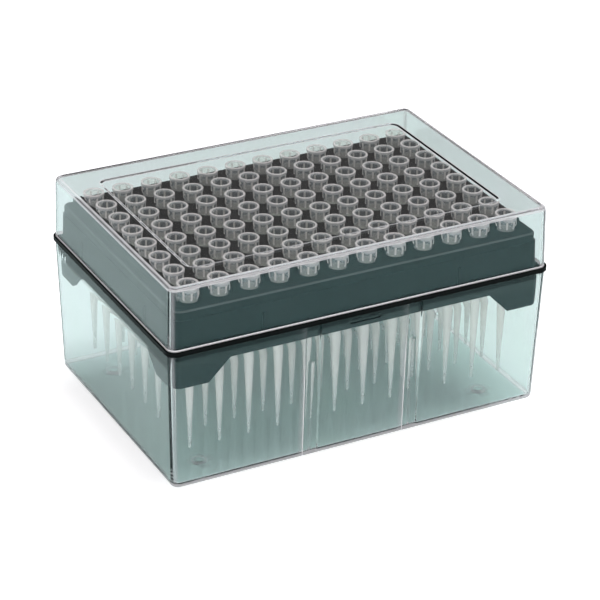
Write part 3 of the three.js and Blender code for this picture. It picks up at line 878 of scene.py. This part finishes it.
def gusset_grid(centre_x, centre_y, half_x, half_y):
    """One small upright rib that centres the lid, as rings round its own rectangle, closed at both ends."""
    top = flange_level + GUSSET_HEIGHT
    sides = outline_samples(stretched(1), stretched(1))
    rows = [(0, 0, 0, flange_level), (half_x, half_y, 0, flange_level),
            (half_x, half_y, 0, top - GUSSET_TOP), (half_x - GUSSET_TAPER, half_y - GUSSET_TAPER, 0, top),
            (0, 0, 0, top)]
    return rings(sides, rows) + np.array([centre_x, centre_y, 0])


def gusset_grids():
    """Eight gussets, two on each wall, set halfway into it."""
    wall_x, wall_y = deck_x + BAND_STEP + wall_lean, deck_y + BAND_STEP + wall_lean
    signs = [(a, b) for a in (-1, 1) for b in (-1, 1)]
    long_walls = [(a * GUSSET_X, b * wall_y, GUSSET_WIDTH / 2, GUSSET_DEPTH) for a, b in signs]
    short_walls = [(a * wall_x, b * GUSSET_Y, GUSSET_DEPTH, GUSSET_WIDTH / 2) for a, b in signs]
    return [(gusset_grid(*place), True) for place in long_walls + short_walls]


# Painted highlight on the rows of the deck's rounded edge.
rack_highlight = np.zeros(rack_skin.shape[:2])
rack_highlight[2:1 + DECK_EDGE_STEPS] = DECK_EDGE_HIGHLIGHT
rack_grids = [(rack_skin, True), *((cell, True) for cell in cells), *gusset_grids()]
rest = sum(points[..., 0].size for points, _ in rack_grids[1:])
rack_highlight = np.pad(rack_highlight.ravel(), (0, rest))
rack = mesh_piece("rack_moulding", rack_grids, sharp_angle=30, haze_and_highlight=rack_highlight)
dress(rack, "box", "dark_plastic", DARK, "tip_rack")

# %% [markdown]
# ## Milky plastic
#
# Tips are thin polypropylene. Light passes them, but every wall scatters some of it, so they look like
# frosted glass: nearly clear face on, and paler at their outlines where the eye looks along the wall. The
# simplest honest model is a share of plain pale plastic over a share of nothing, with the share growing as
# the wall turns away. Thin walls scatter blue light more, so the plastic is bluish where the haze is small
# and cream where it is full. What is seen through a wall gets dimmer as the wall turns away, which draws
# the tips' darker outlines.

# %% The milky plastic


def milky_plastic():
    """Pale plastic mixed with nothing. The share of plastic is haze + (1 - haze) times edge, where haze is
    the piece's own attribute and edge grows from 0 face on to its full value edge on, by Layer Weight's
    Facing."""
    material, tree, surface = new_material("milky_polypropylene")
    cloud = noise_on_object(tree, 350.0, 2.0, (1, 1, 0.25))
    thick = ramp(tree, cloud, [(0.3, (0.84, 0.825, 0.81)), (0.7, (0.90, 0.89, 0.875))])
    haze_and_highlight = haze_and_highlight_of_piece(tree)
    depth = spread(tree, haze_and_highlight, 0.0, 1.0, reach=0.5)
    colour = add_node(tree, "ShaderNodeMix", {"Factor": depth, "A": (0.60, 0.74, 0.82, 1), "B": thick},
                      data_type="RGBA")
    body = add_node(tree, "ShaderNodeBsdfPrincipled", {
        "IOR": 1.49, "Roughness": 0.25, "Base Color": colour.outputs["Result"]})
    facing = add_node(tree, "ShaderNodeLayerWeight", {"Blend": 0.3}).outputs["Facing"]
    clear = add_node(tree, "ShaderNodeBsdfTransparent", {"Color": ramp(tree, facing, [
        (0.0, (0.96, 0.955, 0.935)), (0.5, (0.93, 0.925, 0.90)),
        (0.8, (0.72, 0.71, 0.69)), (1.0, (0.38, 0.37, 0.36))])})
    left = add_node(tree, "ShaderNodeMath", {0: 1.0, 1: haze_and_highlight}, operation="SUBTRACT")
    share = add_node(tree, "ShaderNodeMath", {
        0: left.outputs["Value"], 1: spread(tree, facing, 0.0, 0.18), 2: haze_and_highlight}, operation="MULTIPLY_ADD")
    shader = mix_shaders(tree, share.outputs["Value"], clear.outputs["BSDF"], body.outputs["BSDF"])
    tree.links.new(shader, surface)
    return material


MILKY = milky_plastic()

# %% [markdown]
# ## The tips
#
# A tip is a turned shape with one thing that isn't round: eight short fins along its collar, which stiffen
# it where the pipette's nozzle is pressed in. So the radius is a function of height and angle: a fin share
# between 0 and 1 blends the core's radius into the fin's. The skin runs from the mouth down the outside,
# round the end, and back up the bore, so the wall has its true thickness. The same angles serve every ring:
# two on each fin's crest, two at its feet and two on the core between.

# %% One tip
FINS = 8
FIN_ANGLES = [-4.5, 4.5, 7.5, 17.0, 28.0, 37.5]  # degrees: a fin's crest, a foot, the core and the next foot
RING_RADIUS, RING_HEIGHT = 3.05, 0.9
FIN_RADIUS, CORE_RADIUS = 2.93, 2.6
FIN_END = COLLAR_HEIGHT - 0.9
SHANK_RADIUS, TAPER_RADIUS, END_RADIUS = 2.42, 0.95, 0.4
BORE_MOUTH, BORE_NECK, BORE_END = 2.2, 1.95, 0.2
NECK_DEPTH, TAPER_RISE = 8.0, 14.0
CHAMFER, ROUND = 0.25, 0.12  # of the mouth, and of the ring's and the fins' edges
TIP_LENGTH = mouth_level - tip_end_level

fin_angles = np.radians(np.add.outer(360 / FINS * np.arange(FINS), FIN_ANGLES).ravel())
on_fin = np.tile([1.0, 1.0, 0.0, 0.0, 0.0, 0.0], FINS)


def even(radius, depth, haze_and_highlight):
    """A row without fins: the same radius and the same haze all round."""
    return radius, radius, depth, haze_and_highlight, haze_and_highlight


# %% Rows of a tip
# Each row: core radius, radius on the fins, depth below the mouth, haze on the core, haze on the fins.
tip_rows = np.array([
    even(BORE_MOUTH + CHAMFER, 0.0, 0.42),
    even(RING_RADIUS - ROUND, 0.0, 0.5),
    even(RING_RADIUS, ROUND, 0.42),
    even(RING_RADIUS, RING_HEIGHT - 0.1, 0.28),
    even(RING_RADIUS - 0.1, RING_HEIGHT, 0.14),
    (CORE_RADIUS, FIN_RADIUS, RING_HEIGHT, 0.08, 0.52),
    (CORE_RADIUS, FIN_RADIUS, FIN_END - 0.25, 0.08, 0.52),
    (CORE_RADIUS, FIN_RADIUS - ROUND, FIN_END, 0.03, 0.8),
    (CORE_RADIUS, CORE_RADIUS, FIN_END + 0.02, 0.03, 0.6),
    even(CORE_RADIUS, COLLAR_HEIGHT - 0.05, 0.04),
    even(SHANK_RADIUS, COLLAR_HEIGHT, 0.2),
    even(SHANK_RADIUS - 0.02, COLLAR_HEIGHT + HOLD, 0.45),
    even(TAPER_RADIUS, TIP_LENGTH - TAPER_RISE, 0.45),
    even(END_RADIUS + 0.02, TIP_LENGTH - 0.1, 0.22),
    even(END_RADIUS - 0.06, TIP_LENGTH, 0.2),
    even(BORE_END, TIP_LENGTH, 0.2),
    even(TAPER_RADIUS - 0.4, TIP_LENGTH - TAPER_RISE, 0.1),
    even(BORE_NECK, NECK_DEPTH, 0.1),
    even(BORE_MOUTH, 0.5, 0.05),
    even(BORE_MOUTH + CHAMFER, 0.0, 0.5),
])
print(f"a tip has {len(tip_rows)} rows of {len(fin_angles)} points and is {TIP_LENGTH:.2f} mm long")


def tip_grid(centres, turns):
    """Points of tips at several centres at once: radius = core + fin share times (fin - core), turned by
    each tip's own angle. The result has a grid of rows by angles for every centre."""
    core, crest, depth = (column[:, None] for column in tip_rows.T[:3])
    radius = core + on_fin * (crest - core)
    angle = fin_angles[None, :] + turns[:, None]
    x = centres[:, 0, None, None] + radius * np.cos(angle)[:, None, :]
    y = centres[:, 1, None, None] + radius * np.sin(angle)[:, None, :]
    z = np.broadcast_to(mouth_level - depth, x.shape)
    return np.stack([x, y, z], axis=-1)


# %% [markdown]
# Tips are loaded by machine, so their fins nearly line up, with a few degrees of play. The four front rows
# are loose pieces in the measured model, and each gets its own tip. The four back rows share the rack's
# node there, so one piece holds them all.

# %% Place the tips
FIRST_TURN, HALF_STEP, PLAY = 17.0, 22.5, 3  # degrees: to the first fin, from fin to gap, and of play
tip_count = len(grid_centres)
play = np.random.default_rng(96)
turns = FIRST_TURN + HALF_STEP * play.integers(0, 2, tip_count) + play.uniform(-PLAY, PLAY, tip_count)
turns = np.radians(turns)
tip_points = tip_grid(grid_centres, turns)
tip_haze = tip_rows[:, 3, None] + on_fin * (tip_rows[:, 4] - tip_rows[:, 3])[:, None]
ROW_LETTERS = "ABCDEFGH"
LOOSE_FROM = 4 * COLUMNS  # the first tip of row E

back_rows = mesh_piece("tips_rows_A_to_D", [(grid, True) for grid in tip_points[:LOOSE_FROM]],
                       haze_and_highlight=np.tile(tip_haze.ravel(), LOOSE_FROM))
dress(back_rows, "box", "milky_plastic", MILKY, "tip_rack")

for index in range(LOOSE_FROM, tip_count):
    label = f"{ROW_LETTERS[index // COLUMNS]}{index % COLUMNS + 1:02d}"
    loose = mesh_piece(f"fine_tip_{label}", [(tip_points[index], True)], haze_and_highlight=tip_haze)
    dress(loose, "box", "milky_plastic", MILKY, f"tip_{label}")

# %% [markdown]
# ## The stage
#
# The box stands on a pale bench in a white room. The camera sees the bench as its own lit colour, which
# keeps the box's shadow, plus a plain glow that makes it white. In the box's polished faces the bench looks
# faintly cyan. Light comes from one broad softbox overhead, a second one at the front left and the room,
# all at a plain level.

# %% Bench
BENCH_REACH = 4.0  # metres from its middle to each side
LIT_COLOUR, MIRRORED_COLOUR = (0.86, 0.84, 0.85, 1), (0.66, 0.81, 0.795, 1)


def bench():
    """A broad floor: a lit surface for every ray, cyan in mirrors, and a white glow added for the camera
    only."""
    mesh = bpy.data.meshes.new("bench")
    corners = [(-1, -1, 0), (1, -1, 0), (1, 1, 0), (-1, 1, 0)]
    mesh.from_pydata([BENCH_REACH * Vector(corner) for corner in corners], [], [(0, 1, 2, 3)])
    floor = bpy.data.objects.new("bench", mesh)
    bpy.context.scene.collection.objects.link(floor)
    material, tree, surface = new_material("bench_white")
    path = add_node(tree, "ShaderNodeLightPath").outputs
    colour = add_node(tree, "ShaderNodeMix", {
        "Factor": path["Is Glossy Ray"], "A": LIT_COLOUR, "B": MIRRORED_COLOUR}, data_type="RGBA")
    lit = add_node(tree, "ShaderNodeBsdfDiffuse", {"Color": colour.outputs["Result"]}).outputs["BSDF"]
    glow = add_node(tree, "ShaderNodeEmission", {"Color": (1, 1, 1, 1), "Strength": 0.5})
    both = add_node(tree, "ShaderNodeAddShader", {0: lit, 1: glow.outputs["Emission"]})
    tree.links.new(mix_shaders(tree, path["Is Camera Ray"], lit, both.outputs["Shader"]), surface)
    floor.data.materials.append(material)


bench()

# %% Lamps
LAMP_AIM = Vector((0, 0, 0.03))  # the middle of the box, in metres
LAMP_SIZE = 0.7


def softbox(name, place, watts):
    """A square area lamp that looks at the middle of the box."""
    data = bpy.data.lights.new(name, "AREA")
    data.shape = "SQUARE"
    data.size = LAMP_SIZE
    data.energy = watts
    lamp = bpy.data.objects.new(name, data)
    lamp.visible_transmission = False
    bpy.context.scene.collection.objects.link(lamp)
    lamp.location = place
    lamp.rotation_euler = (LAMP_AIM - Vector(place)).to_track_quat("-Z", "Y").to_euler()
    print(f"{name}: {watts} W, {(LAMP_AIM - Vector(place)).length:.2f} m from the box")


softbox("overhead", (0.25, 0.05, 1.0), 8.3)
softbox("front_left", (-0.8, -1.0, 0.38), 8.8)

# %% Room
WHITE_THROUGH_WALLS = 0.1  # share of the room's white that a ray through a clear wall sees


def room():
    """The room: white where the camera sees it. For all other rays it is nearly white at the horizon, dim
    above it and light again overhead, by the height of the ray's direction. A ray that came through a clear
    wall sees a tenth of the white mixed in."""
    world = bpy.data.worlds.new("room")
    bpy.context.scene.world = world
    world.use_nodes = True
    tree = world.node_tree
    tree.nodes.clear()
    place = add_node(tree, "ShaderNodeTexCoord").outputs["Generated"]
    up = add_node(tree, "ShaderNodeSeparateXYZ", {"Vector": place}).outputs["Z"]
    height = add_node(tree, "ShaderNodeMapRange", {"Value": up, "From Min": -1.0, "From Max": 1.0})
    sky = ramp(tree, height.outputs["Result"], [
        (0.50, (0.95, 0.95, 0.96)), (0.56, (0.50, 0.50, 0.52)), (0.64, (0.13, 0.11, 0.11)),
        (0.78, (0.11, 0.095, 0.095)), (0.95, (0.75, 0.75, 0.78))])
    dim = add_node(tree, "ShaderNodeBackground", {"Color": sky, "Strength": 1.0}).outputs["Background"]
    white = add_node(tree, "ShaderNodeBackground", {"Color": (1, 1, 1, 1), "Strength": 1.0})
    path = add_node(tree, "ShaderNodeLightPath").outputs
    through = add_node(tree, "ShaderNodeMath", {
        0: path["Is Transmission Ray"], 1: WHITE_THROUGH_WALLS, 2: path["Is Camera Ray"]},
        operation="MULTIPLY_ADD")
    mix = mix_shaders(tree, through.outputs["Value"], dim, white.outputs["Background"])
    add_node(tree, "ShaderNodeOutputWorld", {"Surface": mix})


room()

# %% [markdown]
# Many clear walls lie behind each other here, so light needs more bounces than usual before it is given up.
# Focused light from bending walls is left out: the straight windows in the clear plastic replace it.

# %% Bounces
cycles = bpy.context.scene.cycles
cycles.max_bounces = 24
cycles.transmission_bounces = 24
cycles.transparent_max_bounces = 48
cycles.glossy_bounces = 8
cycles.caustics_refractive = False
cycles.caustics_reflective = False
bpy.context.scene.view_settings.view_transform = "Standard"

# %% Camera
# Degrees to the right of +Y, below the level, and anticlockwise round the view.
CAMERA_TURN, CAMERA_DIP, CAMERA_ROLL = 27.969, 27.521, 0.94
CAMERA_REACH = 0.69676  # metres from the camera to the point it looks at
CAMERA_AIM = Vector((0.000274, -0.001404, 0.027867))
LENS = 144.5


def place_camera():
    """A long lens that looks at the box from the front left and above. Forward is turned and dipped from
    +Y, right is level, and the roll then turns right towards up."""
    turn, dip, roll = np.radians([CAMERA_TURN, CAMERA_DIP, CAMERA_ROLL])
    forward = np.array([np.sin(turn) * np.cos(dip), np.cos(turn) * np.cos(dip), -np.sin(dip)])
    level = np.array([np.cos(turn), -np.sin(turn), 0])
    upright = np.cross(level, forward)
    right = level * np.cos(roll) + upright * np.sin(roll)
    up = np.cross(right, forward)
    data = bpy.data.cameras.new("camera")
    data.lens, data.sensor_width = LENS, 36.0
    data.clip_start, data.clip_end = 0.05, 20.0
    camera = bpy.data.objects.new("camera", data)
    bpy.context.scene.collection.objects.link(camera)
    rotation = Matrix(np.column_stack([right, up, -forward]).tolist()).to_4x4()
    camera.matrix_world = Matrix.Translation(CAMERA_AIM - CAMERA_REACH * Vector(forward)) @ rotation
    bpy.context.scene.camera = camera


place_camera()
